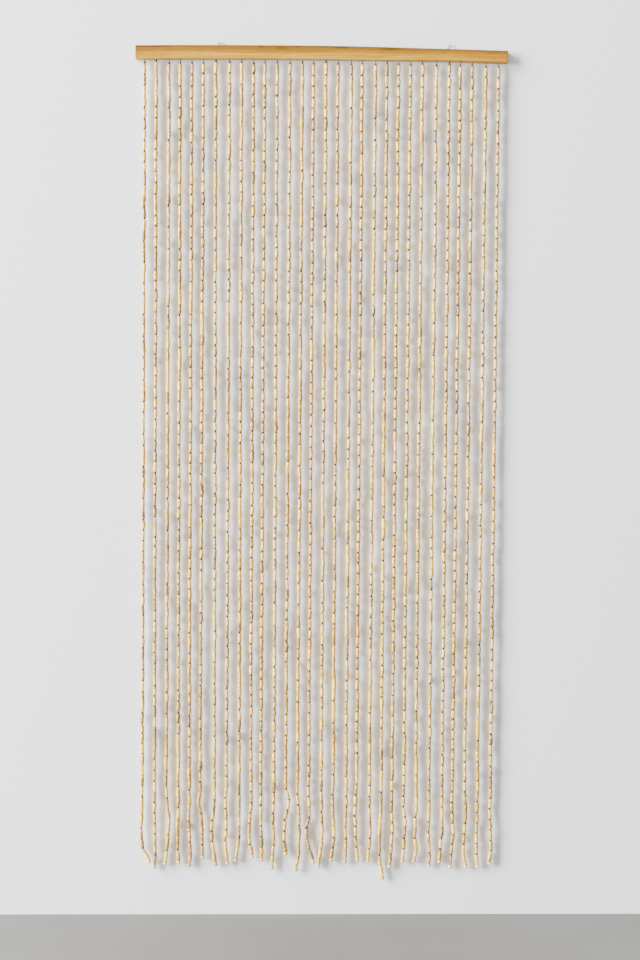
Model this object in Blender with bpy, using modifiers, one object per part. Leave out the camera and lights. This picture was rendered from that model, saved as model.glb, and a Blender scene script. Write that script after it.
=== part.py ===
"""A door-width bead curtain: strings of wooden stick beads hung from a wooden rail.

Metres, +Z up. The rail runs along X and its flat back lies in the plane Y = 0, against
whatever holds it up. The front faces -Y. The origin is the middle of the rail's back.
"""

import math

import bmesh
import bpy
from mathutils import Matrix, Vector

MM = 0.001
GAP = 0.3 * MM                      # air left between neighbouring pieces

# The rail: a planed batten, a little bowed, and planed thinner towards its right end
RAIL_LENGTH = 900 * MM
RAIL_DEPTH = 18 * MM
RAIL_HEIGHT_LEFT = 31.7 * MM
RAIL_HEIGHT_RIGHT = 28.5 * MM
RAIL_NARROWS_FROM = 60 * MM
RAIL_NARROWS_TO = 300 * MM
RAIL_BOW = 4.5 * MM                 # how far the ends hang below the middle
RAIL_STATIONS = 18
ARRIS = 1.2 * MM                    # rounded edges

# One hanger: a strap folded round a wire ring, and a screw through the strap
POCKET_WIDTH = 32 * MM
POCKET_HEIGHT = 24 * MM
POCKET_DEPTH = 4.2 * MM
STRAP_WIDTH = 10 * MM
STRAP_LENGTH = 14 * MM              # from the fold's middle to the free end
STRAP_THICKNESS = 1.0 * MM
FOLD_RADIUS = 1.9 * MM
RING_WIRE = 1.8 * MM
RING_BASE_WIDTH = 20 * MM
RING_TOP_WIDTH = 14 * MM
RING_HEIGHT = 16 * MM
RING_CORNER = 3 * MM
SCREW_DROP = 8.5 * MM               # the screw, below the fold
SCREW_RADIUS = 1.3 * MM
SCREW_HEAD_RADIUS = 2.8 * MM
SCREW_HEAD_HEIGHT = 1.5 * MM
SCREW_LENGTH = 10 * MM
PILOT_SPARE = 1 * MM                # the pilot hole runs on past the screw's tip

# A string: a wire neck under the rail, a run of stick beads, and a ball bead at the end
NECK_LENGTH = 10 * MM
NECK_RADIUS = 1.0 * MM
STICK_RADIUS = 4.0 * MM
STICK_PITCH = 26.2 * MM            # nearly: a string holds a whole number of sticks
BALL_RADIUS = 5.0 * MM
BALL_NECK_RADIUS = 1.5 * MM
BALL_NECK_LENGTH = 2 * MM           # from full stick width down to the ball's neck
BALL_RING_ANGLES = (40, 90, 140, 165)   # degrees from the ball's top
STICK_SHOULDER = 1 * MM             # from the wire neck out to full stick width

# side, middle of the strap's screw along the rail (mm), turn in the rail's plane (degrees),
# height of the screw over the rail's mid line (mm)
HANGERS = (
    ("left", -247, 0, -0.5),
    ("right", 306, 18, 1.5),
)

# place along the rail (mm), length from the rail to the ball's middle (mm), and the lean to
# the right (mm) at the ball and at the seven bead joints above it
STRINGS = (
    (-428, 1959, (15, -1, -4, -5, -2, -2, -3, -2)),
    (-400, 1973, (0, 3, 1, 1, 0, 0, 0, 0)),
    (-369, 1964, (-5, -1, 2, 3, 5, 1, -1, -2)),
    (-342, 1962, (2, -1, -1, -2, 0, 0, 1, 0)),
    (-314, 1969, (0, 3, 1, 0, -2, -1, 0, -1)),
    (-286, 1950, (5, 4, 4, 3, 0, -7, -2, -2)),
    (-256, 1968, (7, 2, -2, -4, -1, 2, 4, 3)),
    (-223, 1966, (3, -1, -2, 0, 0, -2, -3, 0)),
    (-194, 1958, (-5, 0, 3, 3, 3, 2, 2, 2)),
    (-165, 1950, (6, 0, -2, -1, 1, 4, 3, 2)),
    (-138, 1957, (2, 2, 2, 1, 1, 0, 0, 0)),
    (-108, 1978, (-2, 0, 2, 1, 0, 0, 1, 2)),
    (-77, 1943, (1, -3, -3, -2, 5, 8, 1, 0)),
    (-47, 1983, (-3, 3, 2, 3, 4, 3, 1, -1)),
    (-20, 1963, (12, 3, -4, -6, 2, 2, 0, 0)),
    (10, 1974, (-5, -1, 3, 4, 3, 2, 2, 1)),
    (39, 1959, (-2, 1, 4, 3, 1, -1, 0, 1)),
    (71, 1963, (0, 1, 2, -1, 0, 2, 2, 1)),
    (98, 1958, (4, 2, -1, -1, -1, -1, -1, 0)),
    (130, 1962, (-2, 0, 2, 3, 1, 0, 0, 0)),
    (158, 2004, (6, 1, -1, -1, -2, -1, 1, 1)),
    (186, 1975, (-5, -2, -1, 2, 1, 0, 0, 0)),
    (215, 1962, (-1, 1, 2, 4, 3, 2, 1, 0)),
    (244, 1962, (-2, 4, 0, 0, 0, 2, 3, 1)),
    (278, 1972, (1, 2, 1, -1, 0, 1, 1, 0)),
    (309, 1962, (-4, -2, 0, 4, 1, 1, 1, 1)),
    (336, 1975, (-4, -1, 0, 2, 1, 0, -1, 0)),
    (365, 1975, (6, 0, 0, 1, 1, 1, 1, 1)),
    (398, 1973, (2, 0, 0, 0, 0, -1, -1, 0)),
    (429, 1965, (0, 5, 3, 3, 1, 0, 2, 1)),
)


# ---------------------------------------------------------------- collections and materials

def clear_scene():
    for obj in list(bpy.data.objects):
        bpy.data.objects.remove(obj, do_unlink=True)


def new_collection(name):
    collection = bpy.data.collections.new(name)
    bpy.context.scene.collection.children.link(collection)
    return collection


def principled(name, colour, roughness, metallic=0.0):
    material = bpy.data.materials.new(name)
    material.use_nodes = True
    shader = material.node_tree.nodes["Principled BSDF"]
    shader.inputs["Base Color"].default_value = (*colour, 1.0)
    shader.inputs["Roughness"].default_value = roughness
    shader.inputs["Metallic"].default_value = metallic
    return material


def add_object(name, data, material, collection):
    obj = bpy.data.objects.new(name, data)
    if material:
        data.materials.append(material)
    collection.objects.link(obj)
    return obj


def mesh_from(bm, name):
    mesh = bpy.data.meshes.new(name)
    bm.to_mesh(mesh)
    bm.free()
    return mesh


# ---------------------------------------------------------------- cutters

def box_mesh(name, size):
    bm = bmesh.new()
    bmesh.ops.create_cube(bm, size=1.0, matrix=Matrix.Diagonal((*size, 1.0)))
    return mesh_from(bm, name)


def rod_mesh(name, radius, length, axis, sides=16):
    """A round bar centred on its own middle, along X or Y."""
    turn = Matrix.Rotation(math.pi / 2, 4, "Y" if axis == "X" else "X")
    bm = bmesh.new()
    bmesh.ops.create_cone(bm, cap_ends=True, segments=sides, radius1=radius,
                          radius2=radius, depth=length, matrix=turn)
    return mesh_from(bm, name)


def add_cutter(name, mesh, parent, location, cutters):
    cutter = add_object(name, mesh, None, cutters)
    cutter.parent = parent
    cutter.location = location
    cutter.hide_render = True
    cutter.display_type = "WIRE"
    return cutter


def boolean(obj, cutter, operation="DIFFERENCE"):
    modifier = obj.modifiers.new(cutter.name, "BOOLEAN")
    modifier.object = cutter
    modifier.operation = operation
    modifier.solver = "EXACT"


# ---------------------------------------------------------------- rail

def smooth_step(value, start, stop):
    t = min(max((value - start) / (stop - start), 0.0), 1.0)
    return t * t * (3.0 - 2.0 * t)


def rail_height(x):
    narrowing = smooth_step(x, RAIL_NARROWS_FROM, RAIL_NARROWS_TO)
    return RAIL_HEIGHT_LEFT + (RAIL_HEIGHT_RIGHT - RAIL_HEIGHT_LEFT) * narrowing


def rail_middle(x):
    return -RAIL_BOW * (2.0 * x / RAIL_LENGTH) ** 2


def rail_underside(x):
    return rail_middle(x) - rail_height(x) / 2


def build_rail(material, collection):
    bm = bmesh.new()
    bmesh.ops.create_cube(bm, size=1.0, matrix=Matrix.Diagonal((RAIL_LENGTH, RAIL_DEPTH, 1.0, 1.0)))
    long_edges = [e for e in bm.edges if abs(e.verts[0].co.x - e.verts[1].co.x) > RAIL_LENGTH / 2]
    bmesh.ops.subdivide_edges(bm, edges=long_edges, cuts=RAIL_STATIONS - 1, use_grid_fill=True)
    for vertex in bm.verts:
        x = vertex.co.x
        vertex.co.y -= RAIL_DEPTH / 2
        vertex.co.z = rail_middle(x) + vertex.co.z * rail_height(x)
    rail = add_object("rail", mesh_from(bm, "rail"), material, collection)
    rounding = rail.modifiers.new("arrises", "BEVEL")
    rounding.width = ARRIS
    rounding.segments = 2
    rounding.limit_method = "ANGLE"
    rounding.angle_limit = math.radians(40)
    return rail


# ---------------------------------------------------------------- hangers

def ring_points():
    """The ring's centre line: a trapezoid with round corners, its straight bar at z = 0."""
    half_base, half_top = RING_BASE_WIDTH / 2, RING_TOP_WIDTH / 2
    corners = [Vector((-half_base, 0, 0)), Vector((half_base, 0, 0)),
               Vector((half_top, 0, RING_HEIGHT)), Vector((-half_top, 0, RING_HEIGHT))]
    points = []
    for index, corner in enumerate(corners):
        before = (corners[index - 1] - corner).normalized()
        after = (corners[(index + 1) % 4] - corner).normalized()
        start, end = corner + before * RING_CORNER, corner + after * RING_CORNER
        for step in range(4):
            t = step / 3
            points.append(start * (1 - t) ** 2 + corner * 2 * t * (1 - t) + end * t * t)
    return points


def build_ring(name, parent, material, collection):
    curve = bpy.data.curves.new(name, "CURVE")
    curve.dimensions = "3D"
    curve.bevel_depth = RING_WIRE / 2
    curve.bevel_resolution = 2
    spline = curve.splines.new("POLY")
    points = ring_points()
    spline.points.add(len(points) - 1)
    for point, place in zip(spline.points, points):
        point.co = (*place, 1.0)
    spline.use_cyclic_u = True
    ring = add_object(name, curve, material, collection)
    ring.parent = parent
    ring.location = (0, FOLD_RADIUS + GAP, SCREW_DROP)
    return ring


def build_strap(name, parent, material, collection, cutters):
    """The plate, its folded top round the ring's bar, and the screw's hole."""
    strap = add_object(name, box_mesh(name, (STRAP_WIDTH, STRAP_THICKNESS, STRAP_LENGTH)),
                       material, collection)
    strap.parent = parent
    strap.location = (0, GAP + STRAP_THICKNESS / 2, SCREW_DROP - STRAP_LENGTH / 2)
    fold_middle = (0, FOLD_RADIUS + GAP, SCREW_DROP)
    bore_radius = RING_WIRE / 2 + GAP
    hole_radius = SCREW_RADIUS + GAP
    fold = add_cutter(name + "_fold", rod_mesh(name + "_fold", FOLD_RADIUS, STRAP_WIDTH, "X"),
                      parent, fold_middle, cutters)
    bore = add_cutter(name + "_bore", rod_mesh(name + "_bore", bore_radius, 2 * STRAP_WIDTH, "X"),
                      parent, fold_middle, cutters)
    hole = add_cutter(name + "_hole", rod_mesh(name + "_hole", hole_radius, STRAP_LENGTH, "Y"),
                      parent, (0, 0, 0), cutters)
    boolean(strap, fold, "UNION")
    boolean(strap, bore)
    boolean(strap, hole)
    return strap


def build_screw(name, parent, material, collection):
    """A pan-head wood screw, turned round its own Z, then laid along Y with its head at +Y."""
    profile = (
        (0.0, SCREW_HEAD_HEIGHT),
        (SCREW_HEAD_RADIUS * 0.55, SCREW_HEAD_HEIGHT * 0.9),
        (SCREW_HEAD_RADIUS * 0.9, SCREW_HEAD_HEIGHT * 0.55),
        (SCREW_HEAD_RADIUS, 0.0),
        (SCREW_RADIUS, 0.0),
        (SCREW_RADIUS, -SCREW_LENGTH * 0.75),
        (0.0, -SCREW_LENGTH),
    )
    mesh = bpy.data.meshes.new(name)
    edges = [(i, i + 1) for i in range(len(profile) - 1)]
    mesh.from_pydata([(radius, 0.0, height) for radius, height in profile], edges, [])
    screw = add_object(name, mesh, material, collection)
    turning = screw.modifiers.new("turning", "SCREW")
    turning.axis = "Z"
    turning.steps = 16
    turning.render_steps = 16
    turning.use_merge_vertices = True
    turning.merge_threshold = 0.00001
    screw.parent = parent
    screw.location = (0, 2 * GAP + STRAP_THICKNESS, 0)
    screw.rotation_euler = (-math.pi / 2, 0, 0)
    return screw


def build_hanger(row, rail, steel, collection, cutters):
    side, place, turn, rise = row
    x = place * MM
    pocket_floor = bpy.data.objects.new("hanger_seat_" + side, None)
    pocket_floor.location = (x, -POCKET_DEPTH, rail_middle(x) + rise * MM)
    pocket_floor.rotation_euler = (0, math.radians(turn), 0)
    collection.objects.link(pocket_floor)

    pocket_top = rail_middle(x) + rail_height(x) / 2
    pocket_size = (POCKET_WIDTH, 2 * POCKET_DEPTH, 2 * POCKET_HEIGHT)
    pocket = add_cutter("pocket_" + side, box_mesh("pocket_" + side, pocket_size),
                        None, (x, 0, pocket_top), cutters)
    pilot_length = SCREW_LENGTH + 2 * PILOT_SPARE
    pilot = add_cutter("pilot_" + side,
                       rod_mesh("pilot_" + side, SCREW_RADIUS + GAP, pilot_length, "Y"),
                       pocket_floor, (0, PILOT_SPARE - pilot_length / 2, 0), cutters)
    boolean(rail, pocket)
    boolean(rail, pilot)
    build_strap("hanger_strap_" + side, pocket_floor, steel, collection, cutters)
    build_ring("hanger_ring_" + side, pocket_floor, steel, collection)
    build_screw("hanger_screw_" + side, pocket_floor, steel, collection)


# ---------------------------------------------------------------- strings

def string_stations(length, leans):
    """Rows of (sideways, height under the rail, radius) from the neck down to the ball."""
    run = length - NECK_LENGTH - BALL_RADIUS
    pitch = run / round(run / STICK_PITCH)
    rows = [(0.0, -GAP, NECK_RADIUS), (0.0, -NECK_LENGTH, NECK_RADIUS),
            (0.0, -NECK_LENGTH - STICK_SHOULDER, STICK_RADIUS)]
    for joint in range(len(leans) - 1, 0, -1):
        height = -length + BALL_RADIUS + pitch * joint
        rows.append((leans[joint] * MM, height, STICK_RADIUS))
    ball_lean = leans[0] * MM
    rows.append((ball_lean, -length + BALL_RADIUS + BALL_NECK_LENGTH, STICK_RADIUS))
    rows.append((ball_lean, -length + BALL_RADIUS, BALL_NECK_RADIUS))
    for angle in BALL_RING_ANGLES:
        turn = math.radians(angle)
        rows.append((ball_lean, -length + BALL_RADIUS * math.cos(turn), BALL_RADIUS * math.sin(turn)))
    return rows


def build_string(number, row, material, collection):
    place, length, leans = row
    name = f"string_{number:02d}"
    curve = bpy.data.curves.new(name, "CURVE")
    curve.dimensions = "3D"
    curve.bevel_depth = 1.0
    curve.bevel_resolution = 2
    curve.use_fill_caps = True
    stations = string_stations(length * MM, leans)
    spline = curve.splines.new("POLY")
    spline.points.add(len(stations) - 1)
    for point, (sideways, height, radius) in zip(spline.points, stations):
        point.co = (sideways, 0.0, height, 1.0)
        point.radius = radius
    string = add_object(name, curve, material, collection)
    string.location = (place * MM, -RAIL_DEPTH / 2, rail_underside(place * MM))
    return string


# ---------------------------------------------------------------- the whole curtain

def build():
    clear_scene()
    curtain = new_collection("bead_curtain")
    cutters = new_collection("cutters")
    pine = principled("varnished_pine", (0.62, 0.40, 0.18), 0.45)
    bamboo = principled("bamboo_sticks", (0.76, 0.56, 0.33), 0.5)
    steel = principled("zinc_plated_steel", (0.62, 0.63, 0.64), 0.35, 1.0)
    rail = build_rail(pine, curtain)
    for row in HANGERS:
        build_hanger(row, rail, steel, curtain, cutters)
    for number, row in enumerate(STRINGS, start=1):
        build_string(number, row, bamboo, curtain)


build()
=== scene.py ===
# %% [markdown]
# # A bead curtain of wooden sticks
#
# The real curtain is a pine rail with thirty strings under it. A string is a chain: short
# turned sticks of pale wood, each with a wire eye at both ends, hooked one into the next, and
# a round bead to finish. The frame already holds the rail, the two hangers on its back and a
# plain tapered rod for each string. This notebook gives the rail its wood and puts real
# sticks, eyes, balls and hangers in the place of the plain solids.

import math

import bpy
import numpy as np
from mathutils import Matrix, Vector


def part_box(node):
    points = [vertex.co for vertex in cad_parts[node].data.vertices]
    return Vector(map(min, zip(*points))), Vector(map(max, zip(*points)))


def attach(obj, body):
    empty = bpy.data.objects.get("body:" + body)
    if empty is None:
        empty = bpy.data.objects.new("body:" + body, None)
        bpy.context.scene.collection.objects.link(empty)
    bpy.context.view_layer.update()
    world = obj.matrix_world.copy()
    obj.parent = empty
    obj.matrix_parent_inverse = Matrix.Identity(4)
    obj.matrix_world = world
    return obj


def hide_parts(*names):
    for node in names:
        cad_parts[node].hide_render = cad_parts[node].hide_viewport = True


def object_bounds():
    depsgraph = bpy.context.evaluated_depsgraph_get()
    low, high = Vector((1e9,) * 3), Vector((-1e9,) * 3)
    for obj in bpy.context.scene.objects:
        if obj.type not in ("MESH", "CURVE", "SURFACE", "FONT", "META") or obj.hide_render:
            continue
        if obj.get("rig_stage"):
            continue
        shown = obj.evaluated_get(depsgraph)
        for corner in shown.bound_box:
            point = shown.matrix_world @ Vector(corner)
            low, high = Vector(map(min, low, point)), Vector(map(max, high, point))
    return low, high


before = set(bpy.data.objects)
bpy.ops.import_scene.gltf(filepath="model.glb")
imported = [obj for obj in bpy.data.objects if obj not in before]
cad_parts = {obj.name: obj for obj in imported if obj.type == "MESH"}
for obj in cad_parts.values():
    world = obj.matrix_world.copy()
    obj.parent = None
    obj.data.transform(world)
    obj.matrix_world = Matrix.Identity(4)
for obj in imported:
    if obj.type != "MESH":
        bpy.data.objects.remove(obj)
cad_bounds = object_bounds()
MM = 0.001
strings = sorted(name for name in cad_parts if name.startswith("string_"))
print("strings in the frame:", len(strings))
print("box of the frame:", [list(corner) for corner in cad_bounds])

# %% [markdown]
# ## Camera
#
# The curtain is seen from straight in front, a little above the middle of its height, with a
# lens a little longer than normal, so that the strings stay parallel. A camera can be aimed
# with a Track To constraint or by angles. Angles are used here, because the small turn, tilt
# and roll of a hand-set tripod are three plain numbers.

# %% Camera
LENS_MM = 56.25
CAMERA_PLACE = Vector((-0.089, -3.677, -0.8725))
CAMERA_TURN = math.radians(1.424)       # to the right
CAMERA_TILT = math.radians(-2.507)      # downwards
CAMERA_ROLL = math.radians(0.412)


def add_object(name, data):
    """A new object, shown in the scene."""
    made = bpy.data.objects.new(name, data)
    bpy.context.scene.collection.objects.link(made)
    return made


camera_data = bpy.data.cameras.new("camera")
camera_data.lens = LENS_MM
camera = add_object("camera", camera_data)
aim = Matrix.Rotation(-CAMERA_TURN, 4, "Z") @ Matrix.Rotation(math.pi / 2 + CAMERA_TILT, 4, "X")
camera.matrix_world = Matrix.Translation(CAMERA_PLACE) @ aim @ Matrix.Rotation(CAMERA_ROLL, 4, "Z")
bpy.context.scene.camera = camera
print("camera stands", round(-CAMERA_PLACE.y, 2), "m in front of the rail's back")

# %% [markdown]
# ## Materials: helpers
#
# Every finish below is a small tree of nodes. Wiring them by hand takes three lines a node,
# so one function adds a node, sets it and links it. Colours are written as the hex values
# that a paint chart gives; Blender works in linear light, so another function turns them.

# %% Colour and node helpers
def linear(hex_colour):
    """An sRGB hex colour as linear RGBA."""
    shares = [int(hex_colour[i:i + 2], 16) / 255 for i in (1, 3, 5)]
    return (*[s / 12.92 if s <= 0.04045 else ((s + 0.055) / 1.055) ** 2.4 for s in shares], 1.0)


MULTIPLY = {"operation": "MULTIPLY"}
SMOOTH = {"interpolation_type": "SMOOTHSTEP"}


def add_node(tree, kind, settings=None, inputs=None):
    """Adds a shader node. settings are its properties, inputs its values or the sockets that feed
    them. A colour ramp's stops come as the setting stops: (place, hex colour) pairs."""
    made = tree.nodes.new("ShaderNode" + kind)
    for name, value in (settings or {}).items():
        if name == "stops":
            while len(made.color_ramp.elements) < len(value):
                made.color_ramp.elements.new(1.0)
            for element, (place, colour) in zip(made.color_ramp.elements, value):
                element.position = place
                element.color = linear(colour)
        else:
            setattr(made, name, value)
    for name, value in (inputs or {}).items():
        if isinstance(value, bpy.types.NodeSocket):
            tree.links.new(value, made.inputs[name])
        else:
            made.inputs[name].default_value = value
    return made


def new_material(name):
    """A node material and its empty tree."""
    material = bpy.data.materials.new(name)
    material.use_nodes = True
    material.node_tree.nodes.clear()
    return material, material.node_tree


print("hex #808080 is", round(linear("#808080")[0], 3), "in linear light")

# %% [markdown]
# ## Floor, wall and light
#
# A curtain like this is shown on a white wall over a grey screed floor, with one big soft
# light high on the left. The rail hangs flat on that wall by the two rings on its back, so the
# wall is part of how the strings look: it catches their soft shadows and throws light back
# between them. Both are stage pieces and not part of the curtain. The wall has only a front:
# from behind it is clear, so that the back of the curtain can be looked at as well. Where the
# rail covers it, the wall is left open, because the rail's back would otherwise be in the dark.

# %% Floor and wall materials
CLOUDS_PER_METRE = 1.4                  # the trowel's patches


def screed_material():
    """Power-floated screed: dull, with faint cloudy patches from the trowel."""
    material, tree = new_material("screed_floor")
    place = add_node(tree, "TexCoord")
    clouds = add_node(tree, "TexNoise", None,
                      {"Vector": place.outputs["Object"], "Scale": CLOUDS_PER_METRE, "Detail": 5.0,
                       "Roughness": 0.6})
    colour = add_node(tree, "ValToRGB",
                      {"stops": ((0.3, "#5B5953"), (0.7, "#67655F"))}, {"Fac": clouds.outputs["Fac"]})
    shader = add_node(tree, "BsdfPrincipled", None,
                      {"Base Color": colour.outputs["Color"], "Roughness": 0.7})
    add_node(tree, "OutputMaterial", None, {"Surface": shader.outputs["BSDF"]})
    return material


def wall_material():
    """Matt emulsion on smooth plaster, drawn on its front only."""
    material, tree = new_material("matt_wall")
    shader = add_node(tree, "BsdfPrincipled", None, {"Base Color": linear("#E5E6E7"), "Roughness": 0.9})
    clear = add_node(tree, "BsdfTransparent")
    side = add_node(tree, "NewGeometry")
    either = add_node(tree, "MixShader", None, {0: side.outputs["Backfacing"], 1: shader.outputs["BSDF"],
                                                2: clear.outputs["BSDF"]})
    add_node(tree, "OutputMaterial", None, {"Surface": either.outputs["Shader"]})
    return material


# %% Stage pieces
FLOOR_HEIGHT = -2.1136
STAGE_HALF_WIDTH = 9.0
STAGE_DEPTH = 9.0
WALL_HEIGHT = 5.0
WALL_GAP = 0.5 * MM                     # between the rail's back and the wall's front
rail_low, rail_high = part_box("rail")
RAIL_LENGTH = rail_high.x - rail_low.x
RAIL_HEIGHT = 31.7 * MM
RAIL_BOW = 4.5 * MM                     # the ends hang this far below the middle
OPENING_EDGE = 2.5 * MM                 # the wall reaches this far behind the rail, all round


def rail_sag(x):
    """How far the bowed rail's middle line hangs below its highest place."""
    return RAIL_BOW * (2 * x / RAIL_LENGTH) ** 2


def new_mesh(name, points, faces, edges=()):
    """A mesh from lists of points and faces, or of points and edges."""
    mesh = bpy.data.meshes.new(name)
    mesh.from_pydata(points, edges, faces)
    return mesh


def add_stage_sheet(name, corners, faces, material):
    """A flat sheet that belongs to the stage."""
    sheet = add_object(name, new_mesh(name, corners, faces))
    sheet.data.materials.append(material)
    sheet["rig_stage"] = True


def wall_sheet(steps=20):
    """Corners and faces of a wall in columns, with a bowed opening just smaller than the rail."""
    half_opening = RAIL_LENGTH / 2 - OPENING_EDGE
    half_height = RAIL_HEIGHT / 2 - OPENING_EDGE
    inner = np.linspace(-half_opening, half_opening, steps + 1).tolist()
    corners = []
    for x in (-STAGE_HALF_WIDTH, *inner, STAGE_HALF_WIDTH):
        middle = -rail_sag(max(-half_opening, min(x, half_opening)))
        for z in (FLOOR_HEIGHT, middle - half_height, middle + half_height, FLOOR_HEIGHT + WALL_HEIGHT):
            corners.append((x, WALL_GAP, z))
    faces = []
    for column in range(steps + 2):
        for row in (0, 1, 2):
            if row == 1 and 0 < column < steps + 1:
                continue
            first = column * 4 + row
            faces.append((first, first + 4, first + 5, first + 1))
    return corners, faces


floor_corners = [(x * STAGE_HALF_WIDTH, y * STAGE_DEPTH, FLOOR_HEIGHT)
                 for x, y in ((-1, -1), (1, -1), (1, 1), (-1, 1))]
add_stage_sheet("floor", floor_corners, [(0, 1, 2, 3)], screed_material())
add_stage_sheet("wall", *wall_sheet(), wall_material())
print("floor and wall placed, floor at", FLOOR_HEIGHT, "m")

# %% Lights
KEY_PLACE = Vector((-10.0, -3.8, 2.6))
KEY_SIZE = (4.2, 9.4)                   # wide and tall: its height softens the shadows of the rail
KEY_WATTS = 10100
KEY_COLOUR = "#F4F8FF"                  # faintly cool, as daylight is
ROOM_COLOUR = "#FAF6F0"                 # faintly warm, as light thrown back by a room is
ROOM_STRENGTH = 1.15

key_data = bpy.data.lights.new("key", "AREA")
key_data.shape = "RECTANGLE"
key_data.size, key_data.size_y = KEY_SIZE
key_data.energy = KEY_WATTS
key_data.color = linear(KEY_COLOUR)[:3]
key = add_object("key", key_data)
key.location = KEY_PLACE
curtain_middle = (cad_bounds[0] + cad_bounds[1]) / 2
key.rotation_euler = (curtain_middle - KEY_PLACE).to_track_quat("-Z", "Y").to_euler()
world = bpy.data.worlds.new("studio")
bpy.context.scene.world = world
world.use_nodes = True
world.node_tree.nodes["Background"].inputs["Color"].default_value = linear(ROOM_COLOUR)
world.node_tree.nodes["Background"].inputs["Strength"].default_value = ROOM_STRENGTH

# %% [markdown]
# ## The rail's wood
#
# The rail is a planed pine batten under clear satin varnish. Flat-sawn pine shows long flame
# lines of darker late wood along the board, a paler band where the saw ran close to a growth
# ring, and pin knots. Such a pattern could be painted on an image, but then the grain would
# stretch on the ends. Noise read from the place in space runs through the board as real
# growth rings do, so the face, the edges and the sawn ends agree.

# %% Pine: where a point lies in the board's height
def height_in_board(tree, place):
    """0 at the board's underside and 1 at its top, along the bowed board."""
    parts = add_node(tree, "SeparateXYZ", None, {"Vector": place})
    square = add_node(tree, "Math", MULTIPLY, {0: parts.outputs["X"], 1: parts.outputs["X"]})
    sag = add_node(tree, "Math", MULTIPLY, {0: square.outputs[0], 1: RAIL_BOW * (2 / RAIL_LENGTH) ** 2})
    straight = add_node(tree, "Math", {"operation": "ADD"}, {0: parts.outputs["Z"], 1: sag.outputs[0]})
    share = add_node(tree, "MapRange", None,
                     {"Value": straight.outputs[0], "From Min": -RAIL_HEIGHT / 2,
                      "From Max": RAIL_HEIGHT / 2})
    return parts, share.outputs["Result"]


# %% Pine: tones and sizes
# the board's tones from its underside (0) to its top (1), on the left and on the right, darker in its
# upper half
# the palest stop at 0 is painted light on the lower edge, the darkest stop at 1 a painted shadow line
# along the top edge
LEFT_TONES = ((0.0, "#CDA44C"), (0.08, "#B88A28"), (0.2, "#AE8118"), (0.37, "#BE9022"),
              (0.47, "#A87A18"), (0.6, "#8F640F"), (0.8, "#875A0C"), (0.94, "#80560E"), (1.0, "#4F330A"))
RIGHT_TONES = ((0.0, "#C09440"), (0.08, "#AA7C1C"), (0.2, "#B07E12"), (0.42, "#A67310"),
               (0.56, "#AE7B12"), (0.67, "#9C690F"), (0.79, "#885B0F"), (0.94, "#745012"),
               (1.0, "#48300A"))
TONES_CHANGE = (120 * MM, 420 * MM)     # from left to right tones, along the rail
# pin knots: place along the rail, height over its middle, half length and half height (mm)
KNOTS = (
    (-146, 11.5, 8.0, 2.4),
    (-98, 9.5, 14.0, 2.6),
    (-60, 13.0, 10.0, 2.0),
    (48, 12.0, 20.0, 3.2),
    (165, 11.0, 24.0, 3.6),
    (412, 6.5, 16.0, 1.3),
)
END_TINT = "#FCF0D8"
END_TINT_FROM = 330 * MM                # nearer the ends the heartwood shows, deeper in colour
END_EDGE = 4 * MM                       # the sawn ends have drunk more varnish, and are darker
FLAME_LENGTH = 150 * MM
FLAME_SPACING = 5 * MM
WANDER = 0.9                            # how far the flames shift the tones, in board heights
LATE_WOOD_LENGTH = 220 * MM             # thin dark lines between the flames
LATE_WOOD_SPACING = 2.6 * MM
PORE_LENGTH = 14 * MM
PORE_WIDTH = 0.8 * MM                   # real fibres are 0.03 mm: drawn as coarse as still shows
# what each of them makes of the board's tone, from one end of its noise to the other
FLAME_SHADES, LATE_SHADES, PORE_SHADES = (0.74, 1.2), (1.04, 0.8), (0.84, 1.1)
KNOT_SHADE, END_SHADE = 0.55, 0.7
print("growth rings across the rail's face: about", round(RAIL_HEIGHT / FLAME_SPACING))


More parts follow.
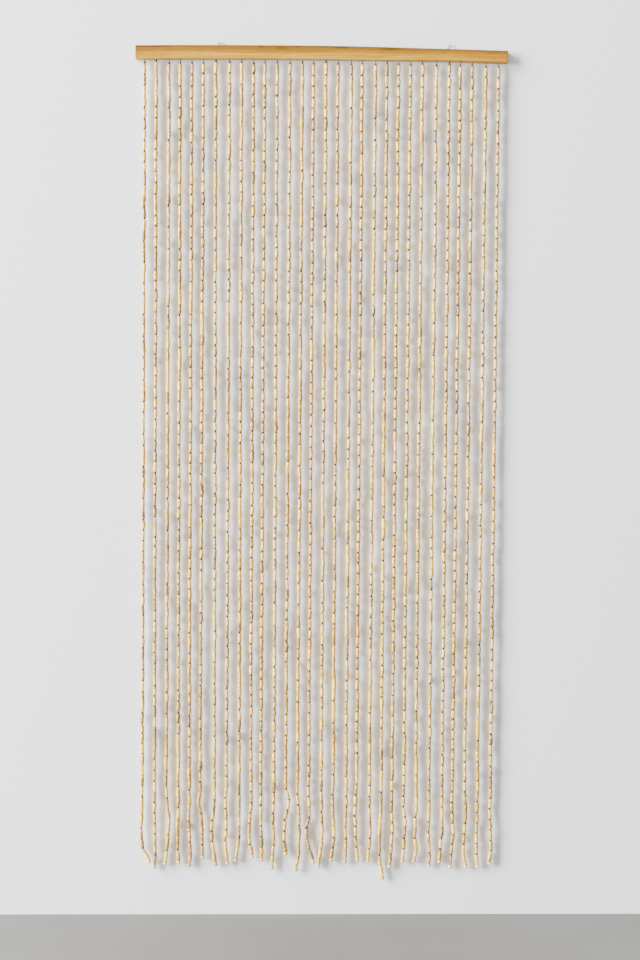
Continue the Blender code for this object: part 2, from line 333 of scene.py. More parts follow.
# %% Pine: the material
def pine_material():
    """Planed pine in satin varnish: warm, striped along its length, with a soft sheen."""
    material, tree = new_material("varnished_pine")
    place = add_node(tree, "TexCoord").outputs["Object"]
    parts, height = height_in_board(tree, place)

    flames_at = add_node(tree, "Mapping", None, {"Vector": place, "Scale": (
        1 / FLAME_LENGTH, 1 / FLAME_SPACING, 1 / FLAME_SPACING)})
    flames = add_node(tree, "TexNoise", None,
                      {"Vector": flames_at.outputs["Vector"], "Scale": 1.0, "Detail": 4.0,
                       "Roughness": 0.68, "Distortion": 0.4})
    wander = add_node(tree, "Math", {"operation": "MULTIPLY_ADD"},
                      {0: flames.outputs["Fac"], 1: WANDER, 2: -WANDER / 2})
    band = add_node(tree, "Math", {"operation": "ADD"}, {0: height, 1: wander.outputs[0]})
    left = add_node(tree, "ValToRGB", {"stops": LEFT_TONES}, {"Fac": band.outputs[0]})
    right = add_node(tree, "ValToRGB", {"stops": RIGHT_TONES}, {"Fac": band.outputs[0]})
    rightward = add_node(tree, "MapRange", SMOOTH,
                         {"Value": parts.outputs["X"], "From Min": TONES_CHANGE[0],
                          "From Max": TONES_CHANGE[1]})
    board = add_node(tree, "Mix", {"data_type": "RGBA"},
                     {"Factor": rightward.outputs["Result"], "A": left.outputs["Color"],
                      "B": right.outputs["Color"]})
    from_middle = add_node(tree, "Math", {"operation": "ABSOLUTE"}, {0: parts.outputs["X"]})
    heartwood = add_node(tree, "MapRange", SMOOTH,
                         {"Value": from_middle.outputs[0], "From Min": END_TINT_FROM,
                          "From Max": RAIL_LENGTH / 2})
    board = add_node(tree, "Mix", {"data_type": "RGBA", "blend_type": "MULTIPLY"},
                     {"Factor": heartwood.outputs["Result"], "A": board.outputs["Result"],
                      "B": linear(END_TINT)})

    pores_at = add_node(tree, "Mapping", None, {"Vector": place, "Scale": (
        1 / PORE_LENGTH, 1 / PORE_WIDTH, 1 / PORE_WIDTH)})
    pores = add_node(tree, "TexNoise", None,
                     {"Vector": pores_at.outputs["Vector"], "Scale": 1.0, "Detail": 2.0})
    streaks = add_node(tree, "MapRange", None,
                       {"Value": pores.outputs["Fac"], "From Min": 0.35, "From Max": 0.65,
                        "To Min": PORE_SHADES[0], "To Max": PORE_SHADES[1]})
    late = add_node(tree, "MapRange", None,
                    {"Value": flames.outputs["Fac"], "From Min": 0.38, "From Max": 0.62,
                     "To Min": FLAME_SHADES[0], "To Max": FLAME_SHADES[1]})
    broad_grain = add_node(tree, "Math", MULTIPLY,
                           {0: streaks.outputs["Result"], 1: late.outputs["Result"]})

    lines_at = add_node(tree, "Mapping", None, {"Vector": place, "Scale": (
        1 / LATE_WOOD_LENGTH, 1 / LATE_WOOD_SPACING, 1 / LATE_WOOD_SPACING)})
    lines = add_node(tree, "TexNoise", None,
                     {"Vector": lines_at.outputs["Vector"], "Scale": 1.0, "Detail": 1.0})
    thin_lines = add_node(tree, "MapRange", None,
                          {"Value": lines.outputs["Fac"], "From Min": 0.48, "From Max": 0.6,
                           "To Min": LATE_SHADES[0], "To Max": LATE_SHADES[1]})
    grain = add_node(tree, "Math", MULTIPLY,
                     {0: broad_grain.outputs[0], 1: thin_lines.outputs["Result"]})

    edge = add_node(tree, "MapRange", None,
                    {"Value": from_middle.outputs[0], "From Min": RAIL_LENGTH / 2 - END_EDGE,
                     "From Max": RAIL_LENGTH / 2, "To Min": 1.0, "To Max": END_SHADE})
    darkness = add_node(tree, "Math", MULTIPLY,
                        {0: grain.outputs[0], 1: edge.outputs["Result"]}).outputs[0]
    for along, over, half_length, half_height in KNOTS:
        centre = (along * MM, 0.0, over * MM - rail_sag(along * MM))
        offset = add_node(tree, "VectorMath", {"operation": "SUBTRACT"}, {0: place, 1: centre})
        oval = add_node(tree, "VectorMath", MULTIPLY,
                        {0: offset.outputs[0], 1: (1 / (half_length * MM), 0.0, 1 / (half_height * MM))})
        reach = add_node(tree, "VectorMath", {"operation": "LENGTH"}, {0: oval.outputs[0]})
        knot = add_node(tree, "MapRange", SMOOTH,
                        {"Value": reach.outputs["Value"], "From Min": 0.2, "From Max": 1.5,
                         "To Min": KNOT_SHADE, "To Max": 1.0})
        darkness = add_node(tree, "Math", MULTIPLY, {0: darkness, 1: knot.outputs["Result"]}).outputs[0]
    colour = add_node(tree, "VectorMath", {"operation": "SCALE"},
                      {0: board.outputs["Result"], "Scale": darkness})

    sheen = add_node(tree, "MapRange", None,
                     {"Value": pores.outputs["Fac"], "To Min": 0.50, "To Max": 0.36})
    relief = add_node(tree, "Bump", None,
                      {"Height": pores.outputs["Fac"], "Strength": 0.25, "Distance": 0.2 * MM})
    shader = add_node(tree, "BsdfPrincipled", None,
                      {"Base Color": colour.outputs[0], "Roughness": sheen.outputs["Result"],
                       "IOR": 1.45, "Specular IOR Level": 0.3, "Normal": relief.outputs["Normal"]})
    add_node(tree, "OutputMaterial", None, {"Surface": shader.outputs["BSDF"]})
    return material


pine = pine_material()
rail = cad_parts["rail"]
rail.data.materials.clear()
rail.data.materials.append(pine)
print("rail", [round(side / MM, 1) for side in rail_high - rail_low], "mm")

# %% [markdown]
# ## How a string hangs
#
# A string's sticks are not quite one length, so the joints of neighbouring strings drift
# apart on the way down. Near the floor the sticks no longer carry weight and the string
# kinks from eye to eye. The plain rods of the frame have those kinks, so each string's line is
# read back from its rod: the mean place of the rod's points near each joint. The lengths in
# between are drawn from a seeded random source, so the curtain comes out the same each time.

# %% Joints of one string
BALL_RADIUS = 5.0 * MM
NECK_LENGTH = 10.0 * MM                 # from the rail's underside down to the top joint
FRAME_GAP = 0.3 * MM                    # the frame's rods stop this far under the rail
STICK_PITCH = 26.2 * MM                 # from joint to joint, on average
KINKED_JOINTS = 7                       # the lowest ones, where the rods bend
RING_REACH = 3.0 * MM                   # a leaning ring's points lie this far over and under it
LENGTH_SPREAD = 1.3 * MM
SIDE_SPREAD = 0.45 * MM
SIDE_MOST = 1.0 * MM
UP = np.array([0.0, 0.0, 1.0])
chance = np.random.default_rng(74)


def rod_points(node):
    """The points of a string's plain rod, read from the frame."""
    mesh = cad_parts[node].data
    points = np.empty(len(mesh.vertices) * 3, np.float32)
    mesh.vertices.foreach_get("co", points)
    return points.reshape(-1, 3).astype(float)


def rod_middles(points, heights):
    """The rod's middle at each height. Where it runs straight on it has no points, and its
    neighbours above and below give the place."""
    near = [points[np.abs(points[:, 2] - height) < RING_REACH] for height in heights]
    known = [(height, *(ring.min(0) + ring.max(0))[:2] / 2)
             for height, ring in zip(heights, near) if len(ring)]
    known_heights, known_x, known_y = np.array(known).T
    return np.interp(heights, known_heights, known_x), np.interp(heights, known_heights, known_y)


def string_joints(node):
    """The places of a string's joints, from the lowest one, over the ball, up to the first eye."""
    points = rod_points(node)
    bottom = points[:, 2].min() + BALL_RADIUS * 2
    top = points[:, 2].max() + FRAME_GAP - NECK_LENGTH
    count = round((top - bottom) / STICK_PITCH)
    pitch = (top - bottom) / count
    heights = [*(bottom + pitch * np.arange(KINKED_JOINTS + 1)), top]
    middle_x, middle_y = rod_middles(points, heights)
    lengths = chance.normal(pitch, LENGTH_SPREAD, count - KINKED_JOINTS)
    lengths *= (top - heights[-2]) / lengths.sum()
    joint_heights = np.concatenate([heights[:-1], heights[-2] + np.cumsum(lengths)])
    places = np.stack([np.interp(joint_heights, heights, middle_x),
                       np.interp(joint_heights, heights, middle_y), joint_heights], -1)
    places[1:-1, :2] += chance.normal(0, SIDE_SPREAD, (len(places) - 2, 2)).clip(-SIDE_MOST, SIDE_MOST)
    return places


joints = {node: string_joints(node) for node in strings}
print("sticks:", sum(len(places) - 1 for places in joints.values()))

# %% [markdown]
# ## The sticks
#
# No two sticks are alike: some are slim and straight, some swell like an olive, some have a
# waist or a knuckle where a twig grew, and all are a little crooked and not quite round. One
# mesh per stick would be two thousand objects, so the sticks of one string are one
# mesh, lofted ring by ring from a table of radii. Arrays do that for all the sticks at once,
# and each point also stores its own place in its stick, so that the grain can follow it.

# %% Loft helper
def loft_faces(count, rings, sides, closed=False):
    """Quads between the rings of count lofts, each with its rings one after another."""
    bands = rings if closed else rings - 1
    loft, ring, side = np.meshgrid(np.arange(count), np.arange(bands), np.arange(sides), indexing="ij")
    first, after = loft * rings * sides, (ring + 1) % rings
    near, next_side = first + ring * sides, (side + 1) % sides
    far = first + after * sides
    return np.stack([near + side, near + next_side, far + next_side, far + side], -1).reshape(-1, 4)


def end_faces(count, rings, sides):
    """One flat face on each end of each loft."""
    first = np.arange(count)[:, None] * rings * sides
    around = np.arange(sides)
    last = first + (rings - 1) * sides
    return np.concatenate([first + around[::-1], last + around])


def solid_faces(count, rings, sides):
    """The faces of lofts that are closed at both ends."""
    return loft_faces(count, rings, sides).tolist() + end_faces(count, rings, sides).tolist()


def smooth_mesh(name, points, faces):
    """A mesh with smooth shading, from an array of points."""
    mesh = new_mesh(name, points.reshape(-1, 3).tolist(), faces)
    mesh.shade_smooth()
    return mesh


def add_piece(name, mesh, material, nodes, place=Matrix.Identity(4)):
    """A mesh piece that rides on the curtain and stands for frame nodes."""
    mesh.materials.append(material)
    piece = add_object(name, mesh)
    piece.matrix_world = place
    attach(piece, "root")
    if nodes:
        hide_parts(*nodes)
    return piece


def axes_along(starts, ends):
    """For each stick, two directions square to it and its own direction."""
    along = ends - starts
    along /= np.linalg.norm(along, axis=1, keepdims=True)
    side = np.cross(np.array([0.0, 1.0, 0.0]), along)
    side /= np.linalg.norm(side, axis=1, keepdims=True)
    return side, np.cross(along, side), along


# %% Stick shapes
SIDES = 10
# share of the length at which each ring lies, and what the sawn end leaves of the radius there
RING_PLACES = np.array([0.0, 0.005, 0.04, 0.17, 0.33, 0.5, 0.67, 0.83, 0.96, 0.995, 1.0])
END_ROUNDING = np.array([0.72, 0.95, 1.0, 1.0, 1.0, 1.0, 1.0, 1.0, 1.0, 0.95, 0.72])
STICK_RADIUS = 4.2 * MM
RADIUS_SPREAD = 0.36 * MM
SLIMMEST, THICKEST = 3.2 * MM, 5.0 * MM
TAPER = 0.14                            # how much slimmer an olive is at its ends
OPEN_JOINT = 2.5 * MM                   # a joint with more air than this stands open
OPEN_END_SLIM = (0.02, 0.14)            # how much slimmer a stick ends at an open joint
SHUT_END_SLIM = (0.0, 0.05)             # and at a shut one
LEAN_SPREAD = 0.09                      # thicker at one end
WAVE_SPREAD = 0.05                      # waists and knuckles
WAVE_TURNS = (1.0, 2.2)
LUMP_SPREAD = 0.038
FLATNESS_SPREAD = 0.05
FACET_SPREAD = 0.02
CROOK = 0.5 * MM
OPEN_SHARES = (0.25, 0.95)              # how many of a string's joints stand open
OPEN_GAPS = (3.6, 5.8)                  # mm
SHUT_GAPS = (0.2, 0.9)                  # mm


def stick_radii(gaps):
    """Radii of each stick at each ring: a belly, a taper to one side, knuckles, and a slimmer
    end at a joint that stands open."""
    t = RING_PLACES[None, :]
    count = len(gaps) - 1
    open_slim = chance.uniform(*OPEN_END_SLIM, count + 1)
    shut_slim = chance.uniform(*SHUT_END_SLIM, count + 1)
    slim = np.where(gaps > OPEN_JOINT, open_slim, shut_slim)
    ends = 1.0 - slim[:-1, None] * (1 - t) ** 5 - slim[1:, None] * t ** 5
    radius = chance.normal(STICK_RADIUS, RADIUS_SPREAD, (count, 1)).clip(SLIMMEST, THICKEST)
    olive = chance.beta(1.1, 1.3, (count, 1)) * TAPER
    belly_at = chance.uniform(0.38, 0.62, (count, 1))
    belly = 1.0 - olive * (np.abs(t - belly_at) / 0.5) ** 2
    lean = 1.0 + chance.normal(0, LEAN_SPREAD, (count, 1)) * (t - 0.5)
    wave_height = chance.normal(0, WAVE_SPREAD, (count, 1))
    wave_turns = t * chance.uniform(*WAVE_TURNS, (count, 1)) + chance.random((count, 1))
    wave = wave_height * np.sin(2 * math.pi * wave_turns)
    lumps = chance.normal(0, LUMP_SPREAD, (count, t.size))
    return radius * (belly * lean * ends + wave + lumps) * END_ROUNDING


def stick_gaps(count):
    """Air between a stick and the next one: few joints of one string stand open, and nearly all
    of another, as the wires were bent tight or slack."""
    stands_open = chance.random(count) < chance.uniform(*OPEN_SHARES)
    open_gaps, shut_gaps = chance.uniform(*OPEN_GAPS, count), chance.uniform(*SHUT_GAPS, count)
    return np.where(stands_open, open_gaps, shut_gaps) * MM


print("ring places in a stick (mm):", np.round(RING_PLACES * STICK_PITCH / MM, 1))


# %% Build the sticks of one string
def stick_points(places, gaps):
    """Points of every stick, as sticks x rings x sides, and each point's place in its stick."""
    starts, ends = places[:-1].copy(), places[1:].copy()
    count = len(starts)
    side, front, along = axes_along(starts, ends)
    length = np.linalg.norm(ends - starts, axis=1)
    starts += along * (gaps[:-1] / 2)[:, None]
    run = length - (gaps[:-1] + gaps[1:]) / 2
    radii = stick_radii(gaps)
    turn = chance.uniform(0, 2 * math.pi, (count, 1, 1))
    angles = (2 * math.pi * np.arange(SIDES) / SIDES)[None, None, :] + turn
    flatness = chance.normal(0, FLATNESS_SPREAD, (count, 1, 1)) * np.cos(2 * (angles - turn))
    facets = chance.normal(0, FACET_SPREAD, (count, 1, SIDES))
    reach = radii[:, :, None] * (1 + flatness + facets)
    bow = np.sin(math.pi * RING_PLACES)[None, :, None]
    s_curve = np.sin(2 * math.pi * RING_PLACES)[None, :, None]
    bend = chance.normal(0, CROOK, (count, 2))[:, None, :] * bow
    bend += chance.normal(0, CROOK / 2, (count, 2))[:, None, :] * s_curve
    across = reach * np.cos(angles) + bend[:, :, 0:1]
    depth = reach * np.sin(angles) + bend[:, :, 1:2]
    up = np.broadcast_to((run[:, None] * RING_PLACES)[:, :, None], across.shape)
    local = np.stack([across, depth, up], -1)
    world = (starts[:, None, None, :] + side[:, None, None, :] * local[..., 0:1]
             + front[:, None, None, :] * local[..., 1:2] + along[:, None, None, :] * local[..., 2:3])
    return world, local


def store_wood(mesh, shape, place, **numbers):
    """Stores each point's place in its stick, its tone and hue, and how far it is darkened at the ends:
    end grain and painted shade.
    """
    for name, values in numbers.items():
        layer = mesh.attributes.new(name, "FLOAT", "POINT")
        layer.data.foreach_set("value", np.broadcast_to(values, shape).astype(np.float32).ravel())
    layer = mesh.attributes.new("place_in_stick", "FLOAT_VECTOR", "POINT")
    layer.data.foreach_set("vector", place.astype(np.float32).ravel())


# %% [markdown]
# ## The sticks' wood
#
# The sticks are tumbled pale hardwood, sorted by nobody: cream, straw and tan, some nearer to
# orange, and most with tan or brown flecks of heartwood. A thin lacquer gives them a soft line
# of light on the lit side. One material serves all of them: each point of the mesh stores its
# stick's tone and hue, and the nodes mix the colour from those. The other way, a few dozen
# materials, is hard to tune. The end balls are of the same wood, bleached, so the function
# takes the four tones of each ramp, from pale to dark, and makes both.

# %% Lacquered hardwood: the material
FIBRE_WIDTH = 0.7 * MM                  # real fibres are finer: drawn as coarse as still shows
FIBRE_LENGTH = 9 * MM
FLECK_WIDTH = 3.0 * MM
FLECK_LENGTH = 9 * MM
FLECK_GAIN, FLECK_SHIFT = 3.6, -1.78    # what the flecks add to a stick's tone, about 0 on average
TONE_PLACES = (0.0, 0.35, 0.7, 1.0)
# darker ends: partly end grain, partly painted shade of the drilled holes and the gaps at the joints
SAWN_SHADE = 0.5                        # end grain drinks more lacquer, and is darker


def stick_material(name, yellow_tones, orange_tones):
    """Tumbled hardwood in clear lacquer: streaky along the stick, darker at its sawn ends from end grain
    and from painted shade of the holes and joints.
    """
    material, tree = new_material(name)
    tone = add_node(tree, "Attribute", {"attribute_name": "tone"}).outputs["Fac"]
    hue = add_node(tree, "Attribute", {"attribute_name": "hue"}).outputs["Fac"]
    sawn = add_node(tree, "Attribute", {"attribute_name": "sawn"}).outputs["Fac"]
    place = add_node(tree, "Attribute", {"attribute_name": "place_in_stick"}).outputs["Vector"]

    fibres_at = add_node(tree, "Mapping", None, {"Vector": place, "Scale": (
        1 / FIBRE_WIDTH, 1 / FIBRE_WIDTH, 1 / FIBRE_LENGTH)})
    fibres = add_node(tree, "TexNoise", None,
                      {"Vector": fibres_at.outputs["Vector"], "Scale": 1.0, "Detail": 2.0})
    flecks_at = add_node(tree, "Mapping", None, {"Vector": place, "Scale": (
        1 / FLECK_WIDTH, 1 / FLECK_WIDTH, 1 / FLECK_LENGTH)})
    flecks = add_node(tree, "TexNoise", None,
                      {"Vector": flecks_at.outputs["Vector"], "Scale": 1.0, "Detail": 3.0})
    drift = add_node(tree, "Math", {"operation": "MULTIPLY_ADD"},
                     {0: flecks.outputs["Fac"], 1: FLECK_GAIN, 2: FLECK_SHIFT})
    mixed_tone = add_node(tree, "Math", {"operation": "ADD"}, {0: tone, 1: drift.outputs[0]})
    yellow = add_node(tree, "ValToRGB", {"stops": tuple(zip(TONE_PLACES, yellow_tones))},
                      {"Fac": mixed_tone.outputs[0]})
    orange = add_node(tree, "ValToRGB", {"stops": tuple(zip(TONE_PLACES, orange_tones))},
                      {"Fac": mixed_tone.outputs[0]})
    wood = add_node(tree, "Mix", {"data_type": "RGBA"},
                    {"Factor": hue, "A": yellow.outputs["Color"], "B": orange.outputs["Color"]})
    streak = add_node(tree, "MapRange", None,
                      {"Value": fibres.outputs["Fac"], "From Min": 0.3, "From Max": 0.7,
                       "To Min": 0.86, "To Max": 1.05})
    end_shade = add_node(tree, "MapRange", None, {"Value": sawn, "To Min": 1.0, "To Max": SAWN_SHADE})
    shade = add_node(tree, "Math", MULTIPLY,
                     {0: streak.outputs["Result"], 1: end_shade.outputs["Result"]})
    colour = add_node(tree, "VectorMath", {"operation": "SCALE"},
                      {0: wood.outputs["Result"], "Scale": shade.outputs[0]})
    relief = add_node(tree, "Bump", None,
                      {"Height": fibres.outputs["Fac"], "Strength": 0.3, "Distance": 0.15 * MM})
    gloss = add_node(tree, "MapRange", None,
                     {"Value": fibres.outputs["Fac"], "To Min": 0.50, "To Max": 0.34})
    shader = add_node(tree, "BsdfPrincipled", None,
                      {"Base Color": colour.outputs[0], "Roughness": gloss.outputs["Result"],
                       "IOR": 1.5, "Specular IOR Level": 0.2, "Coat Weight": 0.45, "Coat Roughness": 0.1,
                       "Normal": relief.outputs["Normal"]})
    add_node(tree, "OutputMaterial", None, {"Surface": shader.outputs["BSDF"]})
    return material


hardwood = stick_material("lacquered_hardwood", ("#FDD858", "#DDAA30", "#AE8A40", "#7C6036"),
                          ("#FDCC5E", "#DF9E3E", "#B28246", "#805C3A"))
bleached = stick_material("bleached_hardwood", ("#EED392", "#DABC74", "#BA9652", "#7C5E30"),
                          ("#EECD8E", "#DAB474", "#BC9054", "#7C5A32"))


# %% Make the sticks
BALL_GAP = 1.0 * MM                     # the last stick all but touches the ball
TOP_GAP = 6.0 * MM                      # twice the air between the top joint and the top stick
TOP_SPREAD = 6.5 * MM                   # a few top sticks were pushed up nearly to the rail
TONE_SHAPE, TONE_MOST = (1.1, 1.4), 0.85
MIDDLE_HUE = 0.3                        # nearer to yellow than to orange
STRING_HUE_SPREAD, STICK_HUE_SPREAD = 0.24, 0.22
# each ring's share of the darker ends: end grain, and painted shade of the joint's gap and hole
SAWN = np.array([1.0, 0.4, 0.05, 0, 0, 0, 0, 0, 0.05, 0.4, 1.0])    # how far each ring is end grain
RINGS = len(RING_PLACES)
push = dict(zip(strings, TOP_SPREAD * chance.random(len(strings)) ** 2))
for node in strings:
    places = joints[node]
    count = len(places) - 1
    gaps = stick_gaps(count + 1)
    gaps[0] = BALL_GAP
    gaps[-1] = TOP_GAP - 2 * push[node]
    world_points, local_points = stick_points(places, gaps)
    name = "sticks_" + node[-2:]
    mesh = smooth_mesh(name, world_points, solid_faces(count, RINGS, SIDES))
    sticks = add_piece(name, mesh, hardwood, [node])
    tone = chance.beta(*TONE_SHAPE, count) * TONE_MOST
    hue = chance.normal(MIDDLE_HUE, STRING_HUE_SPREAD) + chance.normal(0, STICK_HUE_SPREAD, count)
    hue = hue.clip(0, 1)
    shift = chance.uniform(0, 1, (count, 1, 1, 3))
    store_wood(sticks.data, (count, RINGS, SIDES), local_points + shift, tone=tone[:, None, None],
               hue=hue[:, None, None], sawn=SAWN[:, None])
print("triangles in one string's sticks:", sum(len(p.vertices) - 2 for p in sticks.data.polygons))

# %% [markdown]
# ## The wire eyes
#
# A wire runs through each stick and is bent into an eye at both ends. An eye hangs in the
# eye above it, turned a quarter, as the links of a chain do. The top eye of each string hangs
# in a screw eye under the rail. A torus primitive would do for one of them; for some four
# thousand, the same loft as above is bent round a circle.

# %% Wire material
def wire_material():
    """Annealed iron wire: brown scale from the fire hides the metal and leaves it dull."""
    material, tree = new_material("annealed_wire")
    place = add_node(tree, "TexCoord")
    scale_marks = add_node(tree, "TexNoise", None,
                           {"Vector": place.outputs["Object"], "Scale": 1 / (0.8 * MM), "Detail": 2.0})
    colour = add_node(tree, "ValToRGB",
                      {"stops": ((0.35, "#3C2615"), (0.7, "#62442A"))},
                      {"Fac": scale_marks.outputs["Fac"]})
    dullness = add_node(tree, "MapRange", None,
                        {"Value": scale_marks.outputs["Fac"], "To Min": 0.75, "To Max": 0.5})
    shader = add_node(tree, "BsdfPrincipled", None,
                      {"Base Color": colour.outputs["Color"], "Roughness": dullness.outputs["Result"],
                       "IOR": 1.5, "Specular IOR Level": 0.1})
    add_node(tree, "OutputMaterial", None, {"Surface": shader.outputs["BSDF"]})
    return material


wire = wire_material()

# %% Eyes of one string
EYE_RADIUS = 2.2 * MM                   # to the middle of the wire
WIRE_RADIUS = 1.2 * MM                  # stouter than real wire, so that the eyes still show
TOP_EYE_DROP = 0.4 * MM                 # the top eye hangs this far below the top joint
HALF_STEP = EYE_RADIUS - WIRE_RADIUS    # from a joint to the middle of either eye
EYE_RINGS = 8
WIRE_SIDES = 5


def eye_points(centres, across, along, radius, wire_radius, rings, sides):
    """Rings of wire round each centre, in the plane of across and along."""
    round_eye = 2 * math.pi * np.arange(rings) / rings
    round_wire = 2 * math.pi * np.arange(sides) / sides
    out = (across[:, None, :] * np.cos(round_eye)[None, :, None]
           + along[:, None, :] * np.sin(round_eye)[None, :, None])
    flat = np.cross(across, along)[:, None, None, :]
    reach = radius + wire_radius * np.cos(round_wire)
    return (centres[:, None, None, :] + out[:, :, None, :] * reach[None, None, :, None]
            + flat * (wire_radius * np.sin(round_wire))[None, None, :, None])


def string_eyes(places, top_push):
    """The two linked eyes at every joint of a string."""
    count = len(places)
    turn = chance.uniform(0, math.pi, count)
    across = np.stack([np.cos(turn), np.sin(turn), np.zeros(count)], -1)
    quarter = np.stack([-np.sin(turn), np.cos(turn), np.zeros(count)], -1)
    upright = np.broadcast_to(UP, (count, 3))
    upper = places[:-1] + UP * HALF_STEP    # over the last joint is the screw eye
    lower = places - UP * HALF_STEP
    lower[-1, 2] += top_push - TOP_EYE_DROP
    sizes = (EYE_RADIUS, WIRE_RADIUS, EYE_RINGS, WIRE_SIDES)
    return np.concatenate([eye_points(upper, across[:-1], upright[:-1], *sizes),
                           eye_points(lower, quarter, upright, *sizes)])


for node in strings:
    name = "links_" + node[-2:]
    eyes = string_eyes(joints[node], push[node])
    mesh = smooth_mesh(name, eyes, loft_faces(len(eyes), EYE_RINGS, WIRE_SIDES, closed=True).tolist())
    add_piece(name, mesh, wire, [node])
print("eyes on one string:", len(eyes))

# %% [markdown]
# ## Screw eyes under the rail
#
# Each string hangs in a small screw eye turned into the rail's underside: a shank and a ring
# of wire. They are fitted to the rail and not to the strings, so they are one piece
# of their own. The shank runs a little way into the wood, as a real one does.

# %% Screw eyes
SCREW_EYE_RADIUS = 1.8 * MM
SCREW_EYE_WIRE = 0.8 * MM               # half its thickness
SCREW_EYE_RINGS = 14
SCREW_EYE_SIDES = 8
SCREW_EYE_TURN = 0.9                    # radians either way from square to the rail
SHANK_IN_WOOD = 3.0 * MM


def shank_points(middles, tops):
    """Short round shanks, from the top of the ring up into the wood."""
    low = middles + UP * SCREW_EYE_RADIUS
    height = np.stack([np.zeros(len(tops)), tops[:, 2] - low[:, 2] + SHANK_IN_WOOD], -1)
    angle = 2 * math.pi * np.arange(SCREW_EYE_SIDES) / SCREW_EYE_SIDES
    circle = np.stack([np.cos(angle), np.sin(angle), np.zeros(SCREW_EYE_SIDES)], -1) * SCREW_EYE_WIRE
    lift = height[:, :, None, None] * UP
    return low[:, None, None, :] + lift + circle[None, None]


under_rail = np.array([joints[node][-1] + UP * NECK_LENGTH for node in strings])
top_joints = np.array([joints[node][-1] + UP * (push[node] - TOP_EYE_DROP) for node in strings])
eye_middles = top_joints + UP * (SCREW_EYE_RADIUS - SCREW_EYE_WIRE)
count = len(strings)
turn = chance.uniform(-SCREW_EYE_TURN, SCREW_EYE_TURN, count)
across = np.stack([np.cos(turn), np.sin(turn), np.zeros(count)], -1)
rings_at = eye_points(eye_middles, across, np.broadcast_to(UP, (count, 3)), SCREW_EYE_RADIUS,
                      SCREW_EYE_WIRE, SCREW_EYE_RINGS, SCREW_EYE_SIDES).reshape(-1, 3)
shanks_at = shank_points(eye_middles, under_rail).reshape(-1, 3)
ring_faces = loft_faces(count, SCREW_EYE_RINGS, SCREW_EYE_SIDES, closed=True)
shank_faces = loft_faces(count, 2, SCREW_EYE_SIDES) + len(rings_at)
shank_ends = end_faces(count, 2, SCREW_EYE_SIDES) + len(rings_at)
mesh = smooth_mesh("screw_eyes", np.concatenate([rings_at, shanks_at]),
                   ring_faces.tolist() + shank_faces.tolist() + shank_ends.tolist())
add_piece("screw_eyes", mesh, wire, [])
print("screw eyes:", count)

# %% [markdown]
# ## The end balls
#
# A round bead weights the end of each string. It is turned from the sticks' wood, bleached
# paler, and drilled through. Its holes are flat caps at top and bottom, dark with painted shade,
# in the place of the poles of a sphere. It is the same loft with a half circle for its radii.

# %% Ball material and balls
BALL_SIDES = 18
BALL_ANGLES = np.radians([13, 22, 38, 55, 72, 90, 108, 125, 142, 158, 167])    # from hole to hole
BALL_RINGS = len(BALL_ANGLES)
BALL_SQUASH = (0.93, 1.02)
BALL_TONES = (0.1, 0.5)
BALL_HUES = (0.3, 0.7)
# painted shade of the drilled holes, on the flat caps at top and bottom
HOLE_SHADE = np.array([1.0, 0.15, 0, 0, 0, 0, 0, 0, 0, 0.15, 1.0])

around = 2 * math.pi * np.arange(BALL_SIDES) / BALL_SIDES
unit_ball = np.stack([np.outer(np.sin(BALL_ANGLES), np.cos(around)),
                      np.outer(np.sin(BALL_ANGLES), np.sin(around)),
                      np.outer(-np.cos(BALL_ANGLES), np.ones(BALL_SIDES))], -1)
for node in strings:
    squash = np.array([1.0, 1.0, chance.uniform(*BALL_SQUASH)])
    local_points = unit_ball * BALL_RADIUS * squash
    middle = joints[node][0] - UP * BALL_RADIUS
    name = "ball_" + node[-2:]
    mesh = smooth_mesh(name, local_points + middle, solid_faces(1, BALL_RINGS, BALL_SIDES))
    ball = add_piece(name, mesh, bleached, [node])
    tone = chance.uniform(*BALL_TONES)
    hue = chance.uniform(*BALL_HUES)
    store_wood(ball.data, (BALL_RINGS, BALL_SIDES), local_points + chance.uniform(0, 1, 3), tone=tone,
               hue=hue, sawn=HOLE_SHADE[:, None])
print("balls:", len(strings))

# %% [markdown]
# ## The hangers on the back
#
# Each hanger is a strip of sheet steel folded over a bent wire ring and screwed into a
# shallow pocket, so that the rail lies flat on the wall. The ring's top shows over the rail.
# The strap is made as the fold is made: a line bent round the wire, widened to a strip and
# thickened. The ring is a bent line with a round section, and the screw is turned from a
# profile and slotted by a Boolean.

# %% Zinc-plated steel
def zinc_material():
    """Bright zinc plating: a cool metal with faint spangle, so its gleam is uneven."""
    material, tree = new_material("zinc_plated_steel")
    place = add_node(tree, "TexCoord")
    spangle = add_node(tree, "TexNoise", None,
                       {"Vector": place.outputs["Object"], "Scale": 1 / (1.5 * MM), "Detail": 2.0})
    colour = add_node(tree, "ValToRGB",
                      {"stops": ((0.3, "#A9ADB0"), (0.7, "#C6C9CB"))}, {"Fac": spangle.outputs["Fac"]})
    dullness = add_node(tree, "MapRange", None,
                        {"Value": spangle.outputs["Fac"], "To Min": 0.42, "To Max": 0.28})
    shader = add_node(tree, "BsdfPrincipled", None,
                      {"Base Color": colour.outputs["Color"], "Metallic": 1.0,
                       "Roughness": dullness.outputs["Result"]})
    add_node(tree, "OutputMaterial", None, {"Surface": shader.outputs["BSDF"]})
    return material


zinc = zinc_material()

